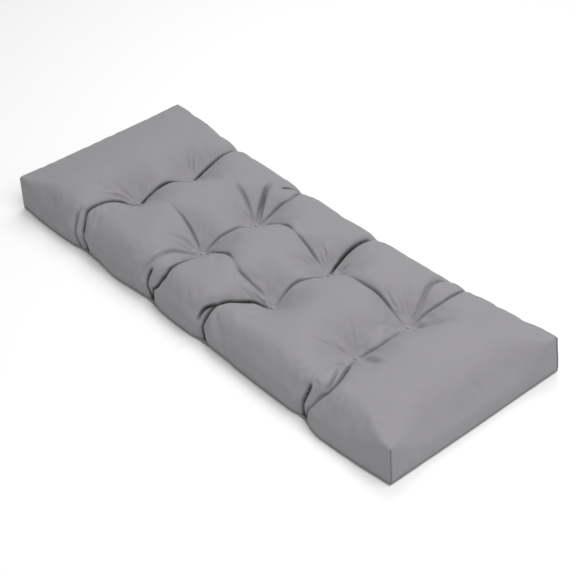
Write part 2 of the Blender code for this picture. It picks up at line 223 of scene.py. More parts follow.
COLUMN_FOLDS = (
    Fold("column_1_back",
         (BACK_1, (-0.391, 0.15), (-0.391, 0.22), (-0.395, 0.26), (-0.395, 0.34)),
         (0.004, 0.018, 0.022, 0.020, 0.010), 0.046, (0.001, 0.024, 0.028, 0.018, 0.006), Slit.SHUT),
    Fold("column_1_middle",
         (FRONT_1, (-0.401, -0.048), (-0.399, -0.012), (-0.397, 0.030), BACK_1),
         (0.004, 0.011, 0.015, 0.011, 0.004), 0.046, (0.002, 0.018, 0.024, 0.010, 0.001), Slit.SHUT),
    Fold("column_1_front",
         (FRONT_1, (-0.414, -0.095), (-0.430, -0.125), (-0.430, -0.170), (-0.427, -0.225), (-0.410, -0.268),
          (-0.400, -0.305), (-0.394, -0.345)),
         (0.004, 0.010, 0.018, 0.021, 0.023, 0.023, 0.020, 0.010), 0.046,
         (0.001, 0.004, 0.014, 0.026, 0.030, 0.028, 0.024, 0.014), Slit.SHUT),
    Fold("column_2_back",
         (BACK_2, (-0.129, 0.110), (-0.128, 0.145), (-0.122, 0.178), (-0.130, 0.215), (-0.148, 0.27),
          (-0.150, 0.34)),
         (0.004, 0.010, 0.012, 0.009, 0.010, 0.016, 0.006), 0.055,
         (0.001, 0.006, 0.009, 0.005, 0.006, 0.020, 0.006)),
    Fold("column_2_middle",
         (FRONT_2, (-0.132, -0.049), (-0.126, -0.010), (-0.128, 0.030), BACK_2),
         (0.004, 0.007, 0.010, 0.007, 0.004), 0.045, (0.000, 0.008, 0.011, 0.005, 0.000)),
    Fold("column_2_front",
         (FRONT_2, (-0.124, -0.130), (-0.113, -0.180), (-0.107, -0.225), (-0.111, -0.260), (-0.122, -0.300),
          (-0.131, -0.345)),
         (0.004, 0.012, 0.018, 0.021, 0.022, 0.020, 0.010), 0.048,
         (0.000, 0.003, 0.010, 0.022, 0.020, 0.010, 0.008), Slit.SHUT),
    Fold("column_3_back",
         (BACK_3, (0.122, 0.12), (0.121, 0.17), (0.121, 0.22), (0.128, 0.27), (0.132, 0.34)),
         (0.004, 0.014, 0.019, 0.020, 0.020, 0.008), 0.048,
         (0.001, 0.018, 0.028, 0.020, 0.014, 0.005), Slit.SHUT),
    Fold("column_3_middle",
         (FRONT_3, (0.128, -0.053), (0.130, -0.02), (0.136, 0.012), BACK_3),
         (0.004, 0.009, 0.012, 0.010, 0.004), 0.048, (0.000, 0.009, 0.016, 0.012, 0.000)),
    Fold("column_3_front",
         (FRONT_3, (0.104, -0.120), (0.088, -0.155), (0.073, -0.190), (0.062, -0.230), (0.058, -0.265),
          (0.060, -0.301), (0.064, -0.345)),
         (0.004, 0.014, 0.020, 0.022, 0.024, 0.024, 0.023, 0.012), 0.046,
         (0.001, 0.009, 0.012, 0.014, 0.022, 0.028, 0.026, 0.014), Slit.SHUT),
    Fold("column_4_back",
         (BACK_4, (0.397, 0.118), (0.409, 0.160), (0.411, 0.200), (0.408, 0.237), (0.404, 0.270),
          (0.400, 0.340)),
         (0.004, 0.007, 0.008, 0.008, 0.008, 0.008, 0.003), 0.045,
         (0.000, 0.006, 0.007, 0.007, 0.006, 0.004, 0.000)),
    Fold("column_4_middle",
         (FRONT_4, (0.391, -0.062), (0.399, -0.037), (0.401, -0.008), (0.397, 0.025), BACK_4),
         (0.004, 0.012, 0.018, 0.020, 0.017, 0.004), 0.085, (0.001, 0.006, 0.006, 0.006, 0.004, 0.000)),
    Fold("column_4_front",
         (FRONT_4, (0.402, -0.115), (0.428, -0.155), (0.446, -0.195), (0.445, -0.230), (0.432, -0.262),
          (0.420, -0.300), (0.405, -0.345)),
         (0.004, 0.010, 0.014, 0.015, 0.015, 0.014, 0.012, 0.008), 0.044,
         (0.001, 0.010, 0.012, 0.008, 0.006, 0.004, 0.003, 0.008)),
)

ROW_FOLDS = (
    Fold("row_1_front",
         (FRONT_1, (-0.340, -0.069), (-0.270, -0.070), (-0.195, -0.074), FRONT_2),
         (0.003, 0.001, 0.002, 0.006, 0.003), 0.034, (0.000, 0.000, 0.000, 0.006, 0.000)),
    Fold("row_1_back",
         (BACK_1, (-0.330, 0.084), (-0.220, 0.084), BACK_2),
         (0.003, 0.001, 0.001, 0.003), 0.034, (0.000, 0.000, 0.000, 0.000)),
    Fold("row_2_front",
         (FRONT_2, (-0.108, -0.078), (-0.065, -0.079), (-0.025, -0.088), (0.005, -0.101), (0.035, -0.107),
          (0.070, -0.102), (0.105, -0.097), FRONT_3),
         (0.003, 0.006, 0.009, 0.007, 0.004, 0.007, 0.007, 0.005, 0.003), 0.036,
         (0.000, 0.006, 0.008, 0.003, 0.001, 0.006, 0.004, 0.001, 0.000)),
    Fold("row_2_back",
         (BACK_2, (-0.101, 0.088), (-0.060, 0.091), (-0.020, 0.086), (0.008, 0.078), (0.040, 0.077),
          (0.072, 0.077), (0.106, 0.073), BACK_3),
         (0.003, 0.007, 0.010, 0.007, 0.004, 0.007, 0.008, 0.005, 0.003), 0.036,
         (0.000, 0.005, 0.008, 0.005, 0.002, 0.006, 0.005, 0.001, 0.000)),
    Fold("row_3_front",
         (FRONT_3, (0.200, -0.098), (0.300, -0.088), FRONT_4),
         (0.003, 0.001, 0.001, 0.003), 0.034, (0.000, 0.000, 0.000, 0.000)),
    Fold("row_3_back",
         (BACK_3, (0.165, 0.079), (0.215, 0.066), (0.260, 0.064), (0.310, 0.070), (0.350, 0.069), BACK_4),
         (0.003, 0.004, 0.007, 0.013, 0.012, 0.007, 0.003), 0.036,
         (0.000, 0.000, 0.002, 0.010, 0.010, 0.005, 0.000)),
)

# The shorter folds beside the columns, where the cover is bunched up
SIDE_FOLDS = (
    Fold("front_1_second",
         ((-0.447, -0.215), (-0.440, -0.250), (-0.427, -0.290), (-0.417, -0.345)),
         (0.001, 0.005, 0.006, 0.004), 0.018, (0.000, 0.007, 0.009, 0.006)),
    Fold("front_2_arc",
         (FRONT_2, (-0.146, -0.113), (-0.157, -0.145), (-0.157, -0.185), (-0.160, -0.225), (-0.170, -0.268)),
         (0.003, 0.004, 0.007, 0.007, 0.006, 0.001), 0.026,
         (0.000, 0.006, 0.006, 0.005, 0.004, 0.000), Slit.WIDE),
    Fold("front_2_low",
         ((-0.141, -0.236), (-0.145, -0.262), (-0.141, -0.292), (-0.134, -0.345)),
         (0.001, 0.010, 0.014, 0.008), 0.026, (0.000, 0.018, 0.022, 0.012), Slit.SHUT),
    Fold("front_3_second",
         ((0.084, -0.186), (0.064, -0.214), (0.046, -0.250), (0.046, -0.285)),
         (0.001, 0.005, 0.006, 0.001), 0.018, (0.000, 0.007, 0.009, 0.000), Slit.SHUT),
    Fold("front_4_slit",
         ((0.404, -0.236), (0.402, -0.262), (0.400, -0.300), (0.399, -0.345)),
         (0.001, 0.014, 0.018, 0.008), 0.030, (0.000, 0.024, 0.030, 0.016), Slit.SHUT),
    Fold("front_4_wedge",
         ((0.408, -0.150), (0.424, -0.178), (0.438, -0.205), (0.440, -0.236)),
         (0.001, 0.004, 0.004, 0.001), 0.014, (0.000, 0.008, 0.008, 0.000)),
    Fold("back_2_steep",
         (BACK_2, (-0.149, 0.098), (-0.168, 0.127), (-0.186, 0.155), (-0.198, 0.185)),
         (0.004, 0.009, 0.013, 0.010, 0.001), 0.028, (0.000, 0.006, 0.014, 0.010, 0.000), Slit.WIDE),
    Fold("back_2_notch",
         ((-0.163, 0.184), (-0.157, 0.200), (-0.150, 0.214), (-0.143, 0.232)),
         (0.001, 0.006, 0.007, 0.002), 0.016, (0.000, 0.018, 0.022, 0.004), Slit.SHUT),
    Fold("back_2_flat",
         (BACK_2, (-0.177, 0.092), (-0.208, 0.101), (-0.246, 0.107)),
         (0.003, 0.005, 0.005, 0.001), 0.024, (0.000, 0.005, 0.005, 0.000), Slit.WIDE),
    Fold("back_4_notch",
         (BACK_4, (0.371, 0.128), (0.356, 0.165), (0.349, 0.195), (0.352, 0.220), (0.360, 0.250),
          (0.364, 0.300)),
         (0.003, 0.006, 0.008, 0.010, 0.016, 0.020, 0.004), 0.030,
         (0.000, 0.005, 0.006, 0.008, 0.016, 0.018, 0.004), Slit.WIDE),
    Fold("back_4_triangle",
         ((0.349, 0.200), (0.358, 0.224), (0.374, 0.238)),
         (0.001, 0.006, 0.001), 0.014, (0.000, 0.010, 0.000), Slit.WIDE),
)
FOLDS = COLUMN_FOLDS + ROW_FOLDS + SIDE_FOLDS

# The wrinkles that fan out from each tuft
CREASES = (
    Crease(((-0.411, -0.084), (-0.434, -0.101), (-0.452, -0.136), (-0.464, -0.165)), 0.0037),
    Crease(((-0.413, -0.093), (-0.420, -0.125), (-0.427, -0.155)), 0.0020),
    Crease(((-0.415, -0.080), (-0.445, -0.088), (-0.480, -0.105)), 0.0017),
    Crease(((-0.404, 0.089), (-0.437, 0.108), (-0.480, 0.148)), 0.0034),
    Crease(((-0.405, 0.097), (-0.431, 0.118), (-0.460, 0.144)), 0.0031),
    Crease(((-0.407, 0.084), (-0.431, 0.094), (-0.465, 0.120)), 0.0020),
    Crease(((-0.147, -0.096), (-0.183, -0.111), (-0.214, -0.146)), 0.0037),
    Crease(((-0.148, -0.106), (-0.173, -0.127), (-0.194, -0.150)), 0.0034),
    Crease(((-0.152, -0.095), (-0.176, -0.101), (-0.206, -0.120)), 0.0034),
    Crease(((-0.146, -0.120), (-0.148, -0.165), (-0.150, -0.200), (-0.152, -0.232)), 0.0037),
    Crease(((-0.136, 0.086), (-0.152, 0.112), (-0.166, 0.136)), 0.0051),
    Crease(((-0.145, 0.064), (-0.165, 0.052), (-0.188, 0.040)), 0.0024),
    Crease(((-0.148, 0.071), (-0.172, 0.068), (-0.200, 0.056)), 0.0027),
    Crease(((-0.120, 0.092), (-0.113, 0.130), (-0.108, 0.175)), 0.0027),
    Crease(((-0.110, 0.060), (-0.090, 0.050), (-0.066, 0.046)), 0.0014),
    Crease(((0.122, 0.057), (0.099, 0.047), (0.078, 0.034)), 0.0027),
    Crease(((0.116, 0.064), (0.091, 0.061), (0.068, 0.046)), 0.0034),
    Crease(((0.108, 0.068), (0.080, 0.074), (0.050, 0.079)), 0.0034),
    Crease(((0.117, 0.076), (0.096, 0.083), (0.074, 0.091)), 0.0024),
    Crease(((0.119, 0.079), (0.088, 0.099), (0.060, 0.107)), 0.0034),
    Crease(((0.123, 0.084), (0.110, 0.099), (0.088, 0.122)), 0.0024),
    Crease(((0.136, 0.084), (0.160, 0.098), (0.205, 0.120)), 0.0024, 0.0060),
    Crease(((0.120, -0.106), (0.097, -0.112), (0.074, -0.122)), 0.0024),
    Crease(((0.124, -0.110), (0.108, -0.128), (0.096, -0.150)), 0.0020),
    Crease(((0.345, 0.078), (0.320, 0.082), (0.290, 0.089)), 0.0024),
    Crease(((0.372, 0.078), (0.342, 0.092), (0.304, 0.099)), 0.0027),
    Crease(((0.372, 0.084), (0.345, 0.104), (0.298, 0.133)), 0.0024),
    Crease(((0.384, 0.096), (0.379, 0.130), (0.381, 0.158), (0.372, 0.190)), 0.0044),
    Crease(((0.396, 0.074), (0.430, 0.082), (0.462, 0.104), (0.500, 0.128)), 0.0058, 0.0090),
    Crease(((0.378, -0.089), (0.343, -0.114), (0.318, -0.135), (0.286, -0.149)), 0.0041),
    Crease(((0.370, -0.090), (0.337, -0.109), (0.312, -0.124)), 0.0027),
    Crease(((0.397, -0.082), (0.435, -0.086), (0.475, -0.094), (0.505, -0.098)), 0.0044, 0.0080),
    Crease(((0.390, -0.100), (0.402, -0.160), (0.404, -0.205), (0.398, -0.245)), 0.0037),
    Crease(((0.380, -0.100), (0.382, -0.150), (0.386, -0.200), (0.392, -0.240)), 0.0020),
)


@dataclass(frozen=True)
class Puckers:
    """Faint wrinkles where the cloth is gathered: round each tuft, and over the edges of the sides and ends."""

    seed: int = 11
    per_tuft: int = 15
    first_angle: tuple[float, float] = (0.0, 0.3)
    turn: tuple[float, float] = (-0.17, 0.17)
    bend: tuple[float, float] = (-0.3, 0.3)
    tuft_start: tuple[float, float] = (0.010, 0.026)
    tuft_run: tuple[float, float] = (0.035, 0.095)
    per_side: int = 46
    side_span: float = 0.62
    per_end: int = 17
    end_span: float = 0.20
    edge_shift: tuple[float, float] = (-0.012, 0.012)
    above_edge: tuple[float, float] = (0.025, 0.045)
    down_run: tuple[float, float] = (0.030, 0.075)
    lean: tuple[float, float] = (-0.012, 0.028)
    lean_halfway: float = 0.4
    depth: tuple[float, float] = (0.0004, 0.0016)
    front_depth: tuple[float, float] = (0.0006, 0.0026)
    back_depth: tuple[float, float] = (0.0001, 0.0006)
    end_depth: tuple[float, float] = (0.0003, 0.0014)
    edge_rise: float = 0.45
    edge_widening: float = 1.5
    width: tuple[float, float] = (0.0030, 0.0060)

    def creases(self) -> tuple[Crease, ...]:
        """Lays the wrinkles out, the same way every time."""
        random = np.random.default_rng(self.seed)
        laid = []
        angles = np.linspace(0.0, 2.0 * np.pi, self.per_tuft, endpoint=False)
        for centre in TUFTS:
            for angle in angles + random.uniform(*self.first_angle):
                path = self.out_from_tuft(random, centre, angle)
                laid.append(Crease(path, random.uniform(*self.depth), random.uniform(*self.width)))
        for half in Half:
            side_depth = self.front_depth if half is Half.NEGATIVE else self.back_depth
            for x in np.linspace(-self.side_span, self.side_span, self.per_side):
                path = self.down_from_edge(random, x, HALF_WIDTH)
                over_side = tuple((place, half.value * away) for place, away in path)
                laid.append(self.edge_crease(random, over_side, side_depth))
            for y in np.linspace(-self.end_span, self.end_span, self.per_end):
                path = self.down_from_edge(random, y, HALF_LENGTH)
                over_end = tuple((half.value * away, place) for place, away in path)
                laid.append(self.edge_crease(random, over_end, self.end_depth))
        return tuple(laid)

    def out_from_tuft(self, random: np.random.Generator, centre: tuple[float, float], angle: float) -> Path:
        """A path that starts a little way off a tuft and runs outward at about that angle, bending slightly."""
        x, y = centre
        turn = angle + random.uniform(*self.turn)
        start = random.uniform(*self.tuft_start)
        run = random.uniform(*self.tuft_run)
        bend = random.uniform(*self.bend)
        path = []
        for share in (0.0, 0.5, 1.0):
            away = start + run * share
            path.append((x + away * math.cos(turn + bend * share), y + away * math.sin(turn + bend * share)))
        return tuple(path)

    def down_from_edge(self, random: np.random.Generator, place: float, edge: float) -> Path:
        """A short path that starts a little inside an edge and runs out over it, leaning to one side."""
        place += random.uniform(*self.edge_shift)
        top = edge - random.uniform(*self.above_edge)
        run = random.uniform(*self.down_run)
        lean = random.uniform(*self.lean)
        return (place, top), (place + self.lean_halfway * lean, top + 0.5 * run), (place + lean, top + run)

    def edge_crease(self, random: np.random.Generator, path: Path, depths: tuple[float, float]) -> Crease:
        """A wrinkle that runs over an edge, wider than the ones round the tufts and slower to grow."""
        depth = random.uniform(*depths)
        width = self.edge_widening * random.uniform(*self.width)
        return Crease(path, depth, width, self.edge_rise)


def smooth_step(share: np.ndarray) -> np.ndarray:
    """A smooth rise from 0 to 1 as share goes from 0 to 1."""
    share = np.clip(share, 0.0, 1.0)
    return share * share * (3.0 - 2.0 * share)


def plump_profile(share: np.ndarray, plumpness: float) -> np.ndarray:
    """The depth of a valley between two pillows: 1 at its bottom, and 0 from a share of 1 outward."""
    return 1.0 - (1.0 - (1.0 - np.clip(share, 0.0, 1.0)) ** 2) ** plumpness


def smooth_path(points: Path, *columns: tuple[float, ...], steps: int = 10) -> np.ndarray:
    """A Catmull-Rom curve through the points, with the values of each column carried along it.

    Args:
        points: the plan points of the path.
        columns: values at the points, one tuple for each column.
        steps: how many samples each span gets.

    Returns:
        A row for each sample: x, y and then the columns' values.
    """
    knots = np.column_stack((np.array(points, float), *(np.array(column, float) for column in columns)))
    padded = np.vstack((2 * knots[0] - knots[1], knots, 2 * knots[-1] - knots[-2]))
    samples = []
    for before, start, end, after in zip(padded, padded[1:], padded[2:], padded[3:]):
        for t in np.arange(steps) / steps:
            samples.append(0.5 * (2 * start + (end - before) * t
                                  + (2 * before - 5 * start + 4 * end - after) * t ** 2
                                  + (3 * start - before - 3 * end + after) * t ** 3))
    return np.array(samples + [knots[-1]])


def between(places: np.ndarray, knots: list[float], heights: list[float]) -> np.ndarray:
    """The values of a smooth curve that runs through the heights at the knots, one for each place."""
    knots, heights = np.array(knots), np.array(heights)
    slopes = np.gradient(heights, knots)
    first = np.clip(np.searchsorted(knots, places) - 1, 0, len(knots) - 2)
    last = first + 1
    span = knots[last] - knots[first]
    share = np.clip((places - knots[first]) / span, 0.0, 1.0)
    rise = smooth_step(share)
    leaving = share * (1.0 - share) ** 2 * span * slopes[first]
    arriving = share ** 2 * (1.0 - share) * span * slopes[last]
    return heights[first] * (1.0 - rise) + heights[last] * rise + leaving - arriving


def nearest_on_path(places: np.ndarray, samples: np.ndarray,
                    reach: float) -> tuple[np.ndarray, np.ndarray, np.ndarray]:
    """Finds the places near a sampled path, and where on the path each of them is.

    Args:
        places: plan points, one row each.
        samples: the path's samples, as smooth_path gives them.
        reach: the largest distance that matters.

    Returns:
        The indices of the places within reach, their signed distances (positive on the path's left), and the
        columns' values at their nearest points, one row each.
    """
    low = samples[:, :2].min(0) - reach
    high = samples[:, :2].max(0) + reach
    found = np.where(((places >= low) & (places <= high)).all(1))[0]
    near = places[found]
    nearest = np.full(len(near), np.inf)
    signed = np.zeros(len(near))
    carried = np.zeros((len(near), samples.shape[1] - 2))
    for first, last in zip(samples[:-1], samples[1:]):
        span = last[:2] - first[:2]
        offset = near - first[:2]
        share = np.clip(offset @ span / (span @ span), 0.0, 1.0)
        distance = np.linalg.norm(offset - share[:, None] * span, axis=1)
        closer = distance < nearest
        side = np.where(span[0] * offset[:, 1] - span[1] * offset[:, 0] < 0.0, -1.0, 1.0)
        nearest[closer] = distance[closer]
        signed[closer] = (distance * side)[closer]
        carried[closer] = (first[2:] + (last[2:] - first[2:]) * share[:, None])[closer]
    kept = nearest < reach
    return found[kept], signed[kept], carried[kept]


def from_tufts(flat: np.ndarray) -> np.ndarray:
    """The distance from each tuft, a row each, to each point of the cover laid flat."""
    return np.array([np.linalg.norm(flat - centre, axis=1) for centre in TUFTS])


@dataclass(frozen=True)
class GridSteps:
    """The steps between grid lines: on the open cover, round the tufts, and right at a fold or an edge."""

    far: float
    near: float
    close: float
    near_reach: float = 0.115
    close_reach: float = 0.009
    ruler_marks: int = 20001

    def lines(self, half_span: float, centres: tuple[float, ...]) -> np.ndarray:
        """Places the lines.

        Args:
            half_span: half the length that the lines cover.
            centres: where the folds run.

        Returns:
            The places from -half_span to half_span, in order.
        """
        ruler = np.linspace(-half_span, half_span, self.ruler_marks)
        from_fold = np.min([np.abs(ruler - centre) for centre in centres], axis=0)
        from_edge = half_span - np.abs(ruler)
        near = np.exp(-((from_fold / self.near_reach) ** 6))
        close = np.exp(-((np.minimum(from_fold, from_edge) / self.close_reach) ** 2))
        density = 1.0 / self.far + (1.0 / self.near - 1.0 / self.far) * near
        density += (1.0 / self.close - 1.0 / self.near) * close
        count = np.concatenate(([0.0], np.cumsum((density[1:] + density[:-1]) / 2 * np.diff(ruler))))
        return np.interp(np.linspace(0.0, count[-1], round(count[-1]) + 1), count, ruler)


@dataclass
class CoverGrid:
    """The cover as the surface of a box that is cut by lines along x, y and z."""

    x_lines: np.ndarray
    y_lines: np.ndarray
    z_lines: np.ndarray

    def __post_init__(self) -> None:
        """Works out the box's points, and its faces with outward normals."""
        lines = (self.x_lines, self.y_lines, self.z_lines)
        counts = [len(line) for line in lines]
        corners = []
        regions = []
        for axis in range(3):
            first, second = (axis + 1) % 3, (axis + 2) % 3
            i, j = np.meshgrid(np.arange(counts[first] - 1), np.arange(counts[second] - 1), indexing="ij")
            for half in Half:
                steps = ((0, 0), (1, 0), (1, 1), (0, 1))
                if half is Half.NEGATIVE:
                    steps = ((0, 0), (0, 1), (1, 1), (1, 0))
                quad = np.zeros((i.size, 4, 3), int)
                quad[:, :, axis] = counts[axis] - 1 if half is Half.POSITIVE else 0
                for corner, (step_first, step_second) in enumerate(steps):
                    quad[:, corner, first] = (i + step_first).ravel()
                    quad[:, corner, second] = (j + step_second).ravel()
                corners.append(quad)
                regions.append(np.full(i.size, 2 * axis + (half is Half.POSITIVE)))
        index = np.concatenate(corners)
        keys = (index[..., 0] * counts[1] + index[..., 1]) * counts[2] + index[..., 2]
        unique, inverse = np.unique(keys, return_inverse=True)
        k = unique % counts[2]
        j = unique // counts[2] % counts[1]
        i = unique // counts[2] // counts[1]
        self.points = np.column_stack((self.x_lines[i], self.y_lines[j], self.z_lines[k]))
        self.faces = inverse.reshape(-1, 4)
        self.regions = np.concatenate(regions)

    def normals(self, points: np.ndarray) -> np.ndarray:
        """The unit normal of the surface at each of its points, with the points where they are now."""
        first, second, third, fourth = (points[self.faces[:, corner]] for corner in range(4))
        face_normals = np.cross(third - first, fourth - second)
        total = np.zeros_like(points)
        for corner in range(4):
            np.add.at(total, self.faces[:, corner], face_normals)
        return total / np.linalg.norm(total, axis=1)[:, None]


def laid_flat(box: np.ndarray) -> tuple[np.ndarray, np.ndarray]:
    """Where each point of the box lies on the cover laid flat, and whether it is on the underside."""
    x, y, z = box.T
    down = CORNER_HEIGHT - z
    on_side = np.abs(y) > HALF_WIDTH - TOLERANCE
    on_end = np.abs(x) > HALF_LENGTH - TOLERANCE
    along = x + np.where(on_end, np.sign(x) * down, 0.0)
    across = y + np.where(on_side, np.sign(y) * down, 0.0)
    underside = (z < TOLERANCE) & ~on_side & ~on_end
    return np.column_stack((along, across)), underside


@dataclass(frozen=True)
class CoverForm:
    """The plump form that the cover takes, before any fold is pressed in."""

    crown: float = 0.034
    front_edge: Rounding = Rounding(0.052, 0.050, 0.14, 0.007)
    back_edge: Rounding = Rounding(0.042, 0.038, 0.36)
    left_edge: Rounding = Rounding(0.008, 0.005, 0.10)
    right_edge: Rounding = Rounding(0.095, 0.076, 0.14, 0.007)
    lower_edge: Rounding = Rounding(0.004, 0.004, 0.10)
    side_bulge: float = 0.006
    end_bulge: float = 0.005
    length_power: float = 6.0
    width_power: float = 2.0
    end_power: int = 4
    sinking_power: int = 4

    @staticmethod
    def swell(distance: np.ndarray, half_span: float, power: float, run_out: float = 0.060) -> np.ndarray:
        """The crown's profile from the middle out: it runs on past the edge at the same slope and fades there.

        Args:
            distance: how far each point is from the middle, over the cover.
            half_span: how far the edge is from the middle.
            power: how flat the profile is in the middle.
            run_out: how far past the edge the profile fades.

        Returns:
            The profile, 1 in the middle and 0 at the edge.
        """
        share = distance / half_span
        past = np.maximum(0.0, share - 1.0)
        beyond = -power * past * (1.0 - smooth_step(past * half_span / run_out))
        return np.where(share < 1.0, 1.0 - share ** power, beyond)

    @staticmethod
    def rounded(inward: np.ndarray, past: np.ndarray, sizes: tuple[np.ndarray, np.ndarray]) -> list[np.ndarray]:
        """The inset and fall of points near one rounded edge.

        Args:
            inward: how far each point lies inward from the edge on the flat face.
            past: how far it lies past the edge on the side face.
            sizes: the rounding's sizes across and down at each point.

        Returns:
            The inset from the edge, and the fall below the flat face.
        """
        across, down = sizes
        angle = np.pi / 4 * (np.clip(1.0 - inward / across, 0.0, 1.0) + np.clip(past / down, 0.0, 1.0))
        inset = np.where(inward > across, inward, across * (1.0 - np.sin(angle)))
        fall = np.where(past > down, past, down * (1.0 - np.cos(angle)))
        return [inset, fall]

    def edge_pair(self, negative: Rounding, positive: Rounding, places: np.ndarray, inward: np.ndarray,
                  past: np.ndarray, from_corner: np.ndarray) -> list[np.ndarray]:
        """The inset and fall at two opposite edges, the first one for places below zero."""
        low = self.rounded(inward, past, negative.grown(from_corner))
        high = self.rounded(inward, past, positive.grown(from_corner))
        return [np.where(places < 0.0, first, second) for first, second in zip(low, high)]

    def drawn(self, box: np.ndarray) -> np.ndarray:
        """Draws the box's points into the plump cushion.

        Args:
            box: points on the box's surface.

        Returns:
            The points on the cushion.
        """
        x, y, z = box.T
        down = CORNER_HEIGHT - z
        to_end = HALF_LENGTH - np.abs(x)
        to_side = HALF_WIDTH - np.abs(y)
        on_top, on_under = down < TOLERANCE, z < TOLERANCE
        on_end, on_side = to_end < TOLERANCE, to_side < TOLERANCE

        side_inset, side_drop = self.edge_pair(self.front_edge, self.back_edge, y, to_side, down, to_end)
        end_inset, end_drop = self.edge_pair(self.left_edge, self.right_edge, x, to_end, down, to_side)
        side_low_inset, side_rise = self.edge_pair(self.lower_edge, self.lower_edge, y, to_side, z, to_end)
        end_low_inset, end_rise = self.edge_pair(self.lower_edge, self.lower_edge, x, to_end, z, to_side)

        height_share = np.clip(z / CORNER_HEIGHT, 0.0, 1.0)
        bulge = np.sin(np.pi * height_share) ** 2
        side_bulge = self.side_bulge * bulge * smooth_step(to_end / self.front_edge.run) * on_side
        end_bulge = self.end_bulge * bulge * smooth_step(to_side / self.right_edge.run) * on_end
        along = [place.along for place in SIDE_PLACES]
        across = [place.across for place in END_PLACES]
        side_drawn = np.where(y < 0.0,
                              between(x, along, [place.front for place in SIDE_PLACES]),
                              between(x, along, [place.back for place in SIDE_PLACES]))
        end_drawn = np.where(x < 0.0,
                             between(y, across, [place.left for place in END_PLACES]),
                             between(y, across, [place.right for place in END_PLACES]))
        lower_share = (1.0 - height_share ** 2) ** 2
        inset_y = np.select([on_top, on_under, on_side],
                            [side_inset, side_low_inset, side_inset + side_low_inset], to_side)
        inset_x = np.select([on_top, on_under, on_end],
                            [end_inset, end_low_inset, end_inset + end_low_inset], to_end)
        inset_y += side_drawn * lower_share * (1.0 - to_side / HALF_WIDTH) - side_bulge
        inset_x += end_drawn * lower_share * (1.0 - to_end / HALF_LENGTH) ** self.end_power - end_bulge

        out_to_end = np.abs(x) + np.where(on_end, down, 0.0)
        out_to_side = np.abs(y) + np.where(on_side, down, 0.0)
        crown = (self.crown * self.swell(out_to_end, HALF_LENGTH, self.length_power)
                 * self.swell(out_to_side, HALF_WIDTH, self.width_power))
        towards_back = np.clip(y / HALF_WIDTH, 0.0, 1.0) ** self.sinking_power
        sunk = between(x, along, [place.sinking for place in SIDE_PLACES]) * towards_back
        low = z < self.lower_edge.down
        top_height = CORNER_HEIGHT - side_drop - end_drop + crown - sunk
        side_height = np.where(low, side_rise, CORNER_HEIGHT - side_drop + crown - sunk * height_share ** 2)
        end_height = np.where(low, end_rise, CORNER_HEIGHT - end_drop + crown)
        height = np.select([on_top, on_under, on_side & on_end, on_side],
                           [top_height, side_rise + end_rise, z, side_height], end_height)
        drawn_x = np.sign(x) * (HALF_LENGTH - inset_x)
        drawn_y = np.sign(y) * (HALF_WIDTH - inset_y)
        return np.column_stack((drawn_x, drawn_y, height))


@dataclass(frozen=True)
class TuftPull:
    """How the tufts pull the cover down to their ties, on the top and less so underneath.

    On the top the pull is a wide cone that is rounded off where it meets the pillows.
    """

    seat_height: float = 0.060
    seat_radius: float = 0.0045
    spread: float = 0.095
    softness: float = 0.30
    fade_from: float = 0.3
    fade_run: float = 0.7
    under_depth: float = 0.010
    under_spread: float = 0.040

    def cone(self, away: np.ndarray) -> np.ndarray:
        """The pull at each distance from a tuft, as a share of the tuft's depth."""
        inward = 1.0 - np.maximum(0.0, away - self.seat_radius) / self.spread
        share = inward + np.sqrt(inward ** 2 + self.softness ** 2)
        return share / (1.0 + math.sqrt(1.0 + self.softness ** 2))


# How the cover's cloth behaves while the filling presses it out
SETTLING_CLOTH = {
    "quality": 5,
    "mass": 0.3,
    "tension_stiffness": 15.0,
    "compression_stiffness": 15.0,
    "shear_stiffness": 5.0,
    "bending_stiffness": 0.6,
    "tension_damping": 10.0,
    "compression_damping": 10.0,
    "air_damping": 4.0,
    "use_pressure": True,
}


